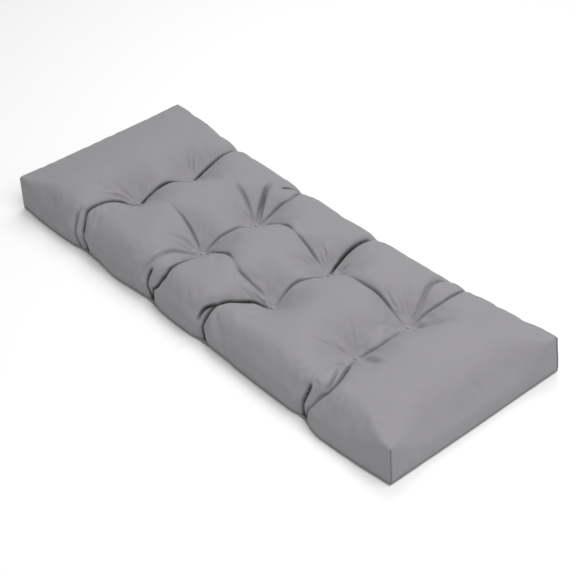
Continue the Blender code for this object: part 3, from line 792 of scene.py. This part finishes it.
@dataclass(frozen=True)
class Filling:
    """The filling's pressure on the cover, which has a little cloth to spare between its folds.

    It is simulated on a coarse copy of the cover, and the movement is carried over to the fine one.
    """

    step: float = 0.010
    pressure: float = 3.0
    spare_cloth: float = 0.024
    frames: int = 16
    largest_move: float = 0.0042
    pinned_beside_fold: float = 0.010
    pinned_fold_depth: float = 0.005
    pinned_below: float = 0.018
    corner_fade: float = 0.080
    taut_left: float = 0.16
    loose_at_left: float = 0.25

    def copy_of_cover(self, grid: CoverGrid, points: np.ndarray, held: np.ndarray) -> bpy.types.Object:
        """Makes the coarse copy, without its underside, and holds its folds, tufts and lower edge."""
        faces = grid.faces[grid.regions != Face.UNDERSIDE]
        mesh = bpy.data.meshes.new("settling_cover")
        mesh.from_pydata(points.tolist(), [], faces.tolist())
        mesh.update()
        copy = bpy.data.objects.new("settling_cover", mesh)
        bpy.context.scene.collection.objects.link(copy)
        holds = copy.vertex_groups.new(name="held")
        holds.add(np.where(held)[0].tolist(), 1.0, "REPLACE")
        return copy

    def settle(self, grid: CoverGrid, points: np.ndarray, held: np.ndarray) -> np.ndarray:
        """Lets the filling press the cover out.

        Args:
            grid: the coarse grid.
            points: the cover's points on that grid, with its folds.
            held: which of them can't move.

        Returns:
            How far each point moved.
        """
        copy = self.copy_of_cover(grid, points, held)
        cloth = copy.modifiers.new("cloth", "CLOTH")
        for name, value in SETTLING_CLOTH.items():
            setattr(cloth.settings, name, value)
        cloth.settings.uniform_pressure_force = self.pressure
        cloth.settings.shrink_min = -self.spare_cloth
        cloth.settings.vertex_group_mass = "held"
        cloth.settings.effector_weights.gravity = 0.0
        cloth.collision_settings.use_collision = False
        cloth.collision_settings.use_self_collision = False
        cloth.point_cache.frame_start = 1
        cloth.point_cache.frame_end = self.frames
        scene = bpy.context.scene
        for number in range(1, self.frames + 1):
            scene.frame_set(number)
        bpy.ops.object.select_all(action="DESELECT")
        bpy.context.view_layer.objects.active = copy
        copy.select_set(True)
        bpy.ops.object.modifier_apply(modifier=cloth.name)
        settled = np.zeros(3 * len(points), np.float32)
        copy.data.vertices.foreach_get("co", settled)
        bpy.data.objects.remove(copy)
        scene.frame_set(1)
        moved = settled.reshape(-1, 3) - points
        size = np.linalg.norm(moved, axis=1)
        log.info("filling: the cover moves %.1f mm at most before the limit", 1000.0 * size.max())
        limited = self.largest_move * np.tanh(size / self.largest_move)
        return moved * (limited / np.maximum(size, TINY))[:, None]

    def carried(self, moved: np.ndarray, coarse: np.ndarray, flat: np.ndarray) -> np.ndarray:
        """Carries the coarse cover's movement over to other points of the cover laid flat.

        Args:
            moved: how far each coarse point moved.
            coarse: where the coarse points lie on the cover laid flat.
            flat: where the other points lie.

        Returns:
            How far each of the other points moves, without steps from one coarse point to the next.
        """
        reach = np.array((HALF_LENGTH + CORNER_HEIGHT, HALF_WIDTH + CORNER_HEIGHT))
        counts = np.rint(2 * reach / self.step).astype(int) + 1
        net = np.zeros((counts[0], counts[1], 3))
        places = np.rint((coarse + reach) / self.step).astype(int)
        net[places[:, 0], places[:, 1]] = moved
        to_end = HALF_LENGTH - np.abs(flat[:, 0])
        to_side = HALF_WIDTH - np.abs(flat[:, 1])
        to_corner = np.select([to_end < 0.0, to_side < 0.0], [to_side, to_end], np.hypot(to_end, to_side))
        where = (flat + reach) / self.step
        first = np.clip(np.floor(where).astype(int), 1, counts - 3)
        share = np.clip(where - first, 0.0, 1.0)
        weights = ((1.0 - share) ** 3 / 6.0,
                   (3.0 * share ** 3 - 6.0 * share ** 2 + 4.0) / 6.0,
                   (-3.0 * share ** 3 + 3.0 * share ** 2 + 3.0 * share + 1.0) / 6.0,
                   share ** 3 / 6.0)
        total = np.zeros((len(flat), 3))
        for along, weight_along in enumerate(weights):
            for across, weight_across in enumerate(weights):
                weight = weight_along[:, 0] * weight_across[:, 1]
                total += net[first[:, 0] + along - 1, first[:, 1] + across - 1] * weight[:, None]
        loose = smooth_step(self.loose_at_left + (flat[:, 0] + HALF_LENGTH) / self.taut_left)
        return total * (loose * smooth_step(to_corner / self.corner_fade))[:, None]


@dataclass
class Cushion:
    """The filled cover: one closed, padded piece that stands for the CAD solid."""

    form: CoverForm = CoverForm()
    pull: TuftPull = TuftPull()
    puckers: Puckers = Puckers()
    filling: Filling = Filling()
    column_steps: GridSteps = GridSteps(0.0052, 0.0025, 0.0012, 0.075)
    row_steps: GridSteps = GridSteps(0.0034, 0.0028, 0.0016)
    seam_lines: tuple[float, ...] = (0.0, 0.0015, 0.003, 0.0045, 0.0060, 0.0070, 0.0080, 0.0090, 0.0105, 0.0130,
                                     0.0165)
    wall_lines: tuple[float, float, int] = (0.021, CORNER_HEIGHT, 18)
    warp_passes: int = 3
    underside_power: int = 4
    fold_plumpness: float = 0.52
    blend_power: float = 3.0
    column_reach: float = 0.13
    row_reach: float = 0.07
    seam_height: float = 0.0075
    seam_depth: float = 0.0022
    seam_width: float = 0.0014
    lower_seam_share: float = 0.6
    corner_seam_inset: float = 0.0030
    corner_seam_fade: float = 0.006
    # Painted shade: its strength in the seam grooves, the slit depth at which it is full, and its spread past a
    # slit's half width
    painted_seam_shade: float = 0.60
    painted_shade_full_depth: float = 0.010
    painted_shade_spread: float = 1.45
    underside_margin: float = 0.02
    underside_share: float = 0.10
    fill: float = 0.7

    def grid(self) -> CoverGrid:
        """The grid of the cover, fine along the tufts' columns and rows and at the lower seam."""
        x_lines = self.column_steps.lines(HALF_LENGTH, COLUMNS)
        y_lines = self.row_steps.lines(HALF_WIDTH, ROWS)
        z_lines = np.concatenate((self.seam_lines, np.linspace(*self.wall_lines)))
        return CoverGrid(x_lines, y_lines, z_lines)

    def warped(self, box: np.ndarray) -> np.ndarray:
        """Shifts the box's points so that its grid lines run along the middle of the row and column folds."""
        columns = []
        for number, column in enumerate(COLUMNS, start=1):
            folds = [fold for fold in COLUMN_FOLDS if fold.name.startswith(f"column_{number}")]
            points = np.vstack([smooth_path(fold.path) for fold in folds])
            columns.append((column, points[np.argsort(points[:, 1])]))
        rows = []
        for name, row in zip(("front", "back"), ROWS):
            folds = [fold for fold in ROW_FOLDS if name in fold.name]
            points = np.vstack([[(-HALF_LENGTH, row)], *(smooth_path(fold.path) for fold in folds),
                                [(HALF_LENGTH, row)]])
            rows.append((row, points))
        moved = box.copy()
        depth_of_side = np.sign(box[:, 1]) * (HALF_WIDTH + CORNER_HEIGHT)
        for _ in range(self.warp_passes):
            flat, underside = laid_flat(np.column_stack((box[:, 0], moved[:, 1], box[:, 2])))
            across = np.where(underside, depth_of_side, flat[:, 1])
            share = np.where(underside, (box[:, 1] / HALF_WIDTH) ** self.underside_power, 1.0)
            x = box[:, 0].copy()
            for column, points in columns:
                shift = np.interp(across, points[:, 1], points[:, 0]) - column
                x += share * shift * smooth_step(1.0 - np.abs(box[:, 0] - column) / self.column_reach)
            y = box[:, 1].copy()
            for row, points in rows:
                shift = np.interp(x, points[:, 0], points[:, 1]) - row
                y += shift * smooth_step(1.0 - np.abs(box[:, 1] - row) / self.row_reach)
            moved[:, 0], moved[:, 1] = x, y
        return moved

    def fold_depths(self, flat: np.ndarray) -> tuple[np.ndarray, np.ndarray]:
        """How far the folds are pressed in at each point of the cover laid flat. Where folds meet, they blend.

        Args:
            flat: where each point lies on the cover laid flat.

        Returns:
            The folds' depths, slits included, and the painted shade in the slits, from 0 to 1.
        """
        valleys = np.zeros(len(flat))
        slits = np.zeros(len(flat))
        painted_shade = np.zeros(len(flat))
        for fold in FOLDS:
            samples = smooth_path(fold.path, fold.depths, fold.slits)
            found, signed, carried = nearest_on_path(flat, samples, fold.width)
            distance = np.abs(signed)
            valley = carried[:, 0] * plump_profile(distance / fold.width, self.fold_plumpness)
            valleys[found] += valley ** self.blend_power
            slit = carried[:, 1] * np.exp(-((distance / fold.kind.width) ** 2))
            slits[found] = np.maximum(slits[found], slit)
            # Painted shade: darkening of the colour inside the slit, stronger as the slit deepens and for shut
            # kinds
            inside = np.exp(-((distance / (self.painted_shade_spread * fold.kind.width)) ** 4))
            shade = fold.kind.closed * inside * np.minimum(carried[:, 1] / self.painted_shade_full_depth, 1.0)
            painted_shade[found] = np.maximum(painted_shade[found], shade)
        return valleys ** (1.0 / self.blend_power) + slits, painted_shade

    def crease_depths(self, flat: np.ndarray) -> np.ndarray:
        """How far the fine wrinkles are pressed in at each point of the cover laid flat."""
        total = np.zeros(len(flat))
        for crease in CREASES + self.puckers.creases():
            samples = smooth_path(crease.path)
            share = np.linspace(0.0, 1.0, len(samples))
            strength = smooth_step(share / crease.rise) * smooth_step((1.0 - share) / crease.fade)
            reach = crease.reach * crease.width
            found, signed, carried = nearest_on_path(flat, np.column_stack((samples, strength)), reach)
            total[found] += crease.depth * carried[:, 0] * crease.profile(np.abs(signed))
        return total

    @staticmethod
    def on_top_panel(flat: np.ndarray, underside: np.ndarray) -> np.ndarray:
        """Which points are on the top face."""
        return ~underside & (np.abs(flat[:, 1]) < HALF_WIDTH) & (np.abs(flat[:, 0]) < HALF_LENGTH)

    def pull_tufts(self, points: np.ndarray, flat: np.ndarray, underside: np.ndarray) -> np.ndarray:
        """Pulls the cover down to each tuft's seat, and up a little underneath.

        Args:
            points: the points of the plump form.
            flat: where each point lies on the cover laid flat.
            underside: which points are on the underside.

        Returns:
            The points with the tufts pulled.
        """
        upper = self.on_top_panel(flat, underside)
        away = from_tufts(flat)
        crests = points[np.argmin(np.where(upper, away, np.inf), axis=1), 2]
        apart = from_tufts(np.array(TUFTS))
        shares = np.linalg.solve(self.pull.cone(apart), crests - self.pull.seat_height)
        lifts = self.pull.under_depth * (np.clip(1.0 - away / self.pull.under_spread, 0.0, 1.0) ** 2).sum(0)
        above = points[:, 2] - self.pull.fade_from * CORNER_HEIGHT
        fade = smooth_step(above / (self.pull.fade_run * CORNER_HEIGHT))
        pulled = points.copy()
        pulled[:, 2] -= np.where(underside, -lifts, fade * (shares @ self.pull.cone(away)))
        return pulled

    def settled(self) -> tuple[np.ndarray, np.ndarray]:
        """How far the filling moves the cover, on a coarse grid.

        Returns:
            The movements, and where their points lie on the cover laid flat.
        """
        spans = (HALF_LENGTH, HALF_WIDTH)
        x_lines, y_lines = (np.linspace(-span, span, round(2 * span / self.filling.step) + 1) for span in spans)
        z_lines = np.linspace(0.0, CORNER_HEIGHT, round(CORNER_HEIGHT / self.filling.step) + 1)
        grid = CoverGrid(x_lines, y_lines, z_lines)
        flat, underside = laid_flat(grid.points)
        points = self.pull_tufts(self.form.drawn(grid.points), flat, underside)
        held = underside | (grid.points[:, 2] < self.filling.pinned_below)
        held |= from_tufts(flat).min(0) < 2 * self.filling.step
        valleys = np.zeros(len(flat))
        for fold in FOLDS:
            found, signed, carried = nearest_on_path(flat, smooth_path(fold.path, fold.depths), fold.width)
            share = np.abs(signed) / fold.width
            valley = carried[:, 0] * plump_profile(share, self.fold_plumpness)
            valleys[found] = np.maximum(valleys[found], valley)
            beside = np.abs(signed) < self.filling.pinned_beside_fold
            held[found] |= beside & (carried[:, 0] > self.filling.pinned_fold_depth)
        points = points - grid.normals(points) * np.where(underside, 0.0, valleys)[:, None]
        moved = self.filling.settle(grid, points, held)
        kept = ~underside & (np.abs(flat) < (HALF_LENGTH + TOLERANCE, HALF_WIDTH + TOLERANCE)).any(1)
        return moved[kept], flat[kept]

    def press_folds(self, grid: CoverGrid, points: np.ndarray, flat: np.ndarray,
                    underside: np.ndarray) -> tuple[np.ndarray, np.ndarray]:
        """Presses the folds in along the cover's normals, and keeps each tuft on its seat.

        Args:
            grid: the cover's grid.
            points: the points of the cover, with its tufts pulled and its filling settled.
            flat: where each point lies on the cover laid flat.
            underside: which points are on the underside.

        Returns:
            The points with the folds and tufts, and the painted shade in the slits, from 0 to 1.
        """
        upper = self.on_top_panel(flat, underside)
        away = from_tufts(flat)
        seats = smooth_step(2.0 - away / self.pull.seat_radius).max(0)
        folds, painted_shade = self.fold_depths(flat)
        depth = np.where(underside, 0.0, folds + self.crease_depths(flat))
        pressed = points - grid.normals(points) * depth[:, None]
        pressed[:, 2] += np.where(upper, seats * (self.pull.seat_height - pressed[:, 2]), 0.0)
        return pressed, np.where(underside, 0.0, painted_shade)

    def sew_seams(self, grid: CoverGrid, points: np.ndarray, box: np.ndarray) -> tuple[np.ndarray, np.ndarray]:
        """Draws in the four corner seams, and the seam that joins the top panel to the bottom panel.

        Args:
            grid: the cover's grid.
            points: the points of the cover.
            box: the points of the box that it was drawn from.

        Returns:
            The points with the seams, and how deep in a seam each of them is, from 0 to 1.
        """
        on_end = np.abs(box[:, 0]) > HALF_LENGTH - TOLERANCE
        on_side = np.abs(box[:, 1]) > HALF_WIDTH - TOLERANCE
        on_wall = on_end | on_side
        lower = np.exp(-(((box[:, 2] - self.seam_height) / self.seam_width) ** 2))
        from_corner = np.where(on_side, HALF_LENGTH - np.abs(box[:, 0]), HALF_WIDTH - np.abs(box[:, 1]))
        below_top = smooth_step((CORNER_HEIGHT - box[:, 2]) / self.corner_seam_fade)
        corner = np.exp(-((np.abs(from_corner - self.corner_seam_inset) / self.seam_width) ** 2)) * below_top
        share = np.where(on_wall, np.maximum(self.lower_seam_share * lower, corner * (on_end & ~on_side)), 0.0)
        return points - grid.normals(points) * (self.seam_depth * share)[:, None], share

    def build(self) -> bpy.types.Object:
        """Builds the cushion's mesh from the grid."""
        grid = self.grid()
        box = self.warped(grid.points)
        flat, underside = laid_flat(box)
        points = self.pull_tufts(self.form.drawn(box), flat, underside)
        moved = self.filling.carried(*self.settled(), flat)
        points += np.where(underside[:, None], 0.0, moved)
        points, painted_slit_shade = self.press_folds(grid, points, flat, underside)
        points, seams = self.sew_seams(grid, points, box)
        # Painted shade: darkening in the slits and, weaker, in the seam grooves, for the cloth's colour
        painted_shade = np.maximum(painted_slit_shade, self.painted_seam_shade * seams)
        mesh = bpy.data.meshes.new("cushion_cover")
        mesh.from_pydata(points.tolist(), [], grid.faces.tolist())
        mesh.update()
        self.unwrap(mesh, grid, box)
        # The slit attribute carries the painted shade of the slits and seam grooves
        mesh.attributes.new("slit", "FLOAT", "POINT").data.foreach_set("value", painted_shade.astype(np.float32))
        mesh.shade_smooth()
        made = bpy.data.objects.new("cushion_cover", mesh)
        bpy.context.scene.collection.objects.link(made)
        self.thin_underside(made, grid, box)
        return made

    def thin_underside(self, made: bpy.types.Object, grid: CoverGrid, box: np.ndarray) -> None:
        """Merges most of the small faces in the middle of the underside, where the cover lies flat.

        Args:
            made: the cushion.
            grid: the cover's grid.
            box: the points of the box that it was drawn from.
        """
        mesh = made.data
        from_edge = np.minimum(HALF_LENGTH - np.abs(box[:, 0]), HALF_WIDTH - np.abs(box[:, 1]))
        inner = (from_edge > self.underside_margin) & (box[:, 2] < TOLERANCE)
        chosen = inner[grid.faces].all(1)
        points_chosen = np.zeros(len(box), bool)
        points_chosen[grid.faces[chosen]] = True
        ends = np.empty(2 * len(mesh.edges), int)
        mesh.edges.foreach_get("vertices", ends)
        mesh.vertices.foreach_set("select", points_chosen)
        mesh.edges.foreach_set("select", points_chosen[ends.reshape(-1, 2)].all(1))
        mesh.polygons.foreach_set("select", chosen)
        bpy.context.tool_settings.mesh_select_mode = (False, False, True)
        bpy.ops.object.select_all(action="DESELECT")
        made.select_set(True)
        bpy.context.view_layer.objects.active = made
        bpy.ops.object.mode_set(mode="EDIT")
        bpy.ops.mesh.decimate(ratio=self.underside_share)
        bpy.ops.object.mode_set(mode="OBJECT")

    @staticmethod
    def unwrap(mesh: bpy.types.Mesh, grid: CoverGrid, box: np.ndarray) -> None:
        """Gives the mesh a UV map in metres along the cloth's threads, panel by panel."""
        corners = box[grid.faces]
        x, y, z = corners[..., 0], corners[..., 1], corners[..., 2]
        end = np.isin(grid.regions, (Face.LEFT, Face.RIGHT))[:, None]
        side = np.isin(grid.regions, (Face.FRONT, Face.BACK))[:, None]
        along = np.where(end, np.sign(x) * (HALF_LENGTH + CORNER_HEIGHT - z), x)
        across = np.where(side, np.sign(y) * (HALF_WIDTH + CORNER_HEIGHT - z), y)
        cloth = mesh.uv_layers.new(name="cloth")
        cloth.data.foreach_set("uv", np.stack((along, across), axis=-1).astype(np.float32).ravel())

    def dress(self, piece: bpy.types.Object, finish: "WovenCloth") -> None:
        piece.data.materials.append(finish.material())
        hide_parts("cushion")
        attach(piece, "root")


class Value:
    """A node's output socket that takes part in Python expressions."""

    def __init__(self, graph: "NodeGraph", socket: bpy.types.NodeSocket) -> None:
        """Wraps the socket."""
        self.graph = graph
        self.socket = socket

    def math(self, operation: str, *others: "Value | float") -> "Value":
        """The result of a Math node on this value and the others."""
        inputs = dict(enumerate((self, *others)))
        return Value(self.graph, self.graph.node("ShaderNodeMath", {"operation": operation}, inputs).outputs[0])

    def __add__(self, other: "Value | float") -> "Value":
        """This value plus the other."""
        return self.math("ADD", other)

    def __mul__(self, other: "Value | float") -> "Value":
        """This value times the other."""
        return self.math("MULTIPLY", other)


class NodeGraph:
    """A material's node tree, with its Principled shader."""

    def __init__(self, name: str) -> None:
        """Starts a new material of that name."""
        self.material = bpy.data.materials.new(name)
        self.material.use_nodes = True
        self.tree = self.material.node_tree
        self.shader = self.tree.nodes["Principled BSDF"]

    def link(self, source: Value | bpy.types.NodeSocket | float | tuple, target: bpy.types.NodeSocket) -> None:
        """Links the source to the target socket, or sets the target's value."""
        if isinstance(source, Value):
            source = source.socket
        if isinstance(source, bpy.types.NodeSocket):
            self.tree.links.new(source, target)
        else:
            target.default_value = source

    def node(self, kind: str, settings: dict, inputs: dict) -> bpy.types.Node:
        """Adds a node.

        Args:
            kind: the node's type.
            settings: the node's attributes, set first.
            inputs: values or links, by the socket's name or number.

        Returns:
            The new node.
        """
        made = self.tree.nodes.new(kind)
        for name, setting in settings.items():
            setattr(made, name, setting)
        for name, source in inputs.items():
            self.link(source, made.inputs[name])
        return made

    def value(self, kind: str, settings: dict, inputs: dict, output: str | int = 0) -> Value:
        """Adds a node and returns one of its outputs as a Value."""
        return Value(self, self.node(kind, settings, inputs).outputs[output])

    def set(self, **sockets: Value | float | tuple) -> None:
        """Sets or links the shader's sockets, with underscores for the spaces in their names."""
        for name, source in sockets.items():
            self.link(source, self.shader.inputs[name.replace("_", " ")])


@dataclass(frozen=True)
class WovenCloth:
    """Grey outdoor polyester in a fine plain weave."""

    name: str = "grey_woven_polyester"
    colour: tuple[float, float, float] = (0.277, 0.269, 0.281)
    roughness: float = 0.78
    sheen: float = 0.12
    thread_pitch: float = 0.0011
    weave_depth: float = 0.00012
    slub_scale: tuple[float, float, float] = (220.0, 1500.0, 1.0)
    slub_height: float = 0.5
    mottle_scale: float = 9.0
    ripple_scale: float = 17.0
    ripple_depth: float = 0.0042
    slub_tint: float = 0.10
    mottle_tint: float = 0.10
    weave_tint: float = 0.06
    tint_contrast: float = 3.8
    dark_tone: float = 0.88
    light_tone: float = 1.12
    # Painted shade in the slits and seam grooves: its tone, and how it rises with the slit attribute
    painted_shade_tone: float = 0.08
    painted_shade_power: float = 0.8
    bump_strength: float = 0.6
    gloss: float = 0.3

    def toned(self, share: float) -> tuple[float, ...]:
        """The cloth's colour times a share."""
        return tuple(channel * share for channel in self.colour) + (1.0,)

    def material(self) -> bpy.types.Material:
        """Builds the cloth's material: the weave and faint ripples, and painted shade deep in the slits and
        seam grooves.
        """
        graph = NodeGraph(self.name)
        cloth = graph.node("ShaderNodeUVMap", {"uv_map": "cloth"}, {}).outputs["UV"]
        split = graph.node("ShaderNodeSeparateXYZ", {}, {0: cloth})
        turns = math.pi / self.thread_pitch
        warp = (Value(graph, split.outputs["X"]) * turns).math("SINE")
        weft = (Value(graph, split.outputs["Y"]) * turns).math("SINE")
        weave = (warp * weft).math("ABSOLUTE")
        slub = graph.value("ShaderNodeTexNoise", {"noise_dimensions": "3D"},
                           {"Vector": graph.value("ShaderNodeMapping", {},
                                                  {"Vector": cloth, "Scale": self.slub_scale}),
                            "Scale": 1.0, "Detail": 2.0})
        mottle = graph.value("ShaderNodeTexNoise", {"noise_dimensions": "3D"},
                             {"Vector": cloth, "Scale": self.mottle_scale, "Detail": 4.0, "Roughness": 0.6})
        tint = slub * self.slub_tint + mottle * self.mottle_tint + weave * self.weave_tint
        cloth_colour = graph.node("ShaderNodeMix", {"data_type": "RGBA"},
                                  {"Factor": tint * self.tint_contrast,
                                   "A": self.toned(self.dark_tone), "B": self.toned(self.light_tone)})
        # Painted shade: the colour darkens where the slit attribute marks slits and seam grooves
        slit = graph.value("ShaderNodeAttribute", {"attribute_name": "slit"}, {}, "Fac")
        colour = graph.node("ShaderNodeMix", {"data_type": "RGBA"},
                            {"Factor": slit.math("POWER", self.painted_shade_power),
                             "A": cloth_colour.outputs["Result"], "B": self.toned(self.painted_shade_tone)})
        ripple = graph.value("ShaderNodeTexNoise", {"noise_dimensions": "3D"},
                             {"Vector": cloth, "Scale": self.ripple_scale, "Detail": 3.0, "Roughness": 0.5,
                              "Distortion": 0.6})
        slub_depth = self.weave_depth * self.slub_height
        height = weave * self.weave_depth + slub * slub_depth + ripple * self.ripple_depth
        bump = graph.value("ShaderNodeBump", {},
                           {"Height": height, "Strength": self.bump_strength, "Distance": 1.0}, "Normal")
        graph.link(colour.outputs["Result"], graph.shader.inputs["Base Color"])
        graph.set(Normal=bump, Roughness=self.roughness, Sheen_Weight=self.sheen, Specular_IOR_Level=self.gloss)
        return graph.material


@dataclass(frozen=True)
class TyingThread:
    """Thick twisted polyester thread, a little paler than the cloth."""

    name: str = "pale_tying_thread"
    colour: tuple[float, float, float] = (0.33, 0.32, 0.335)
    roughness: float = 0.6
    twist_pitch: float = 0.0008
    twist_depth: float = 0.00006
    bump_strength: float = 0.7

    def material(self) -> bpy.types.Material:
        """Builds the thread's material."""
        graph = NodeGraph(self.name)
        place = graph.node("ShaderNodeTexCoord", {}, {}).outputs["Object"]
        split = graph.node("ShaderNodeSeparateXYZ", {}, {0: place})
        run = Value(graph, split.outputs["X"]) + Value(graph, split.outputs["Y"])
        twist = ((run + Value(graph, split.outputs["Z"])) * (2.0 * math.pi / self.twist_pitch)).math("SINE")
        height = twist * self.twist_depth
        bump = graph.value("ShaderNodeBump", {},
                           {"Height": height, "Strength": self.bump_strength, "Distance": 1.0}, "Normal")
        graph.set(Base_Color=self.colour + (1.0,), Normal=bump, Roughness=self.roughness)
        return graph.material


@dataclass(frozen=True)
class Lamp:
    """A large soft light that points at the cushion's middle."""

    name: str
    place: tuple[float, float, float]
    power: float
    size: float = 3.0

    def hang(self) -> None:
        """Adds the light to the scene."""
        light = bpy.data.lights.new(self.name, "AREA")
        light.energy = self.power
        light.shape = "DISK"
        light.size = self.size
        lamp = bpy.data.objects.new(self.name, light)
        lamp.location = self.place
        lamp.rotation_mode = "QUATERNION"
        lamp.rotation_quaternion = (-Vector(self.place)).to_track_quat("-Z", "Y")
        bpy.context.scene.collection.objects.link(lamp)


@dataclass(frozen=True)
class Studio:
    """The pale floor, the soft lights and the camera."""

    camera_place: tuple[float, float, float] = (2.13709, -1.72641, 2.15217)
    camera_right: tuple[float, float, float] = (0.65865288, 0.75183897, -0.03024164)
    camera_up: tuple[float, float, float] = (-0.45054342, 0.42625344, 0.78442248)
    lens: float = 92.70
    sensor: float = 36.0
    farthest_view: float = 50.0
    floor_size: float = 14.0
    floor_shade: float = 0.96
    floor_roughness: float = 0.9
    world_strength: float = 0.34
    right_lamp: Lamp = Lamp("right_light", (1.6, -0.2, 3.0), 76.0)
    left_lamp: Lamp = Lamp("left_light", (-1.2, 1.5, 3.2), 56.0)

    def floor(self) -> None:
        """The plain pale floor."""
        bpy.ops.object.select_all(action="DESELECT")
        bpy.ops.mesh.primitive_plane_add(size=self.floor_size)
        floor = bpy.context.object
        floor.name = "studio_floor"
        graph = NodeGraph("pale_floor")
        shade = (self.floor_shade, self.floor_shade, self.floor_shade, 1.0)
        graph.set(Base_Color=shade, Roughness=self.floor_roughness)
        floor.data.materials.append(graph.material)

    def light(self) -> None:
        """A faint light all round, and a broad light high above either end."""
        world = bpy.data.worlds.new("studio_world")
        bpy.context.scene.world = world
        world.use_nodes = True
        background = world.node_tree.nodes["Background"]
        background.inputs["Color"].default_value = (1.0, 1.0, 1.0, 1.0)
        background.inputs["Strength"].default_value = self.world_strength
        self.right_lamp.hang()
        self.left_lamp.hang()
        bpy.context.scene.view_settings.view_transform = "Standard"

    def camera(self) -> None:
        """The camera at the photograph's viewing angle."""
        data = bpy.data.cameras.new("camera")
        data.lens = self.lens
        data.sensor_width = self.sensor
        data.clip_end = self.farthest_view
        camera = bpy.data.objects.new("camera", data)
        right, up = Vector(self.camera_right), Vector(self.camera_up)
        turn = Matrix((right, up, right.cross(up))).transposed().to_4x4()
        camera.matrix_world = Matrix.Translation(self.camera_place) @ turn
        bpy.context.scene.collection.objects.link(camera)
        bpy.context.scene.camera = camera


def main() -> None:
    """Builds and dresses every piece, and then the studio round it."""
    logging.basicConfig(level=logging.INFO, format="%(message)s")
    studio = Studio()
    studio.camera()
    cushion = Cushion()
    cover = cushion.build()
    cushion.dress(cover, WovenCloth())
    log.info("cushion_cover: %d faces", len(cover.data.polygons))
    thread = TyingThread().material()
    for name, node in sorted(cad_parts.items()):
        if name.startswith("tuft_tie"):
            node.data.materials.clear()
            node.data.materials.append(thread)
    studio.floor()
    studio.light()


if __name__ == "__main__":
    main()
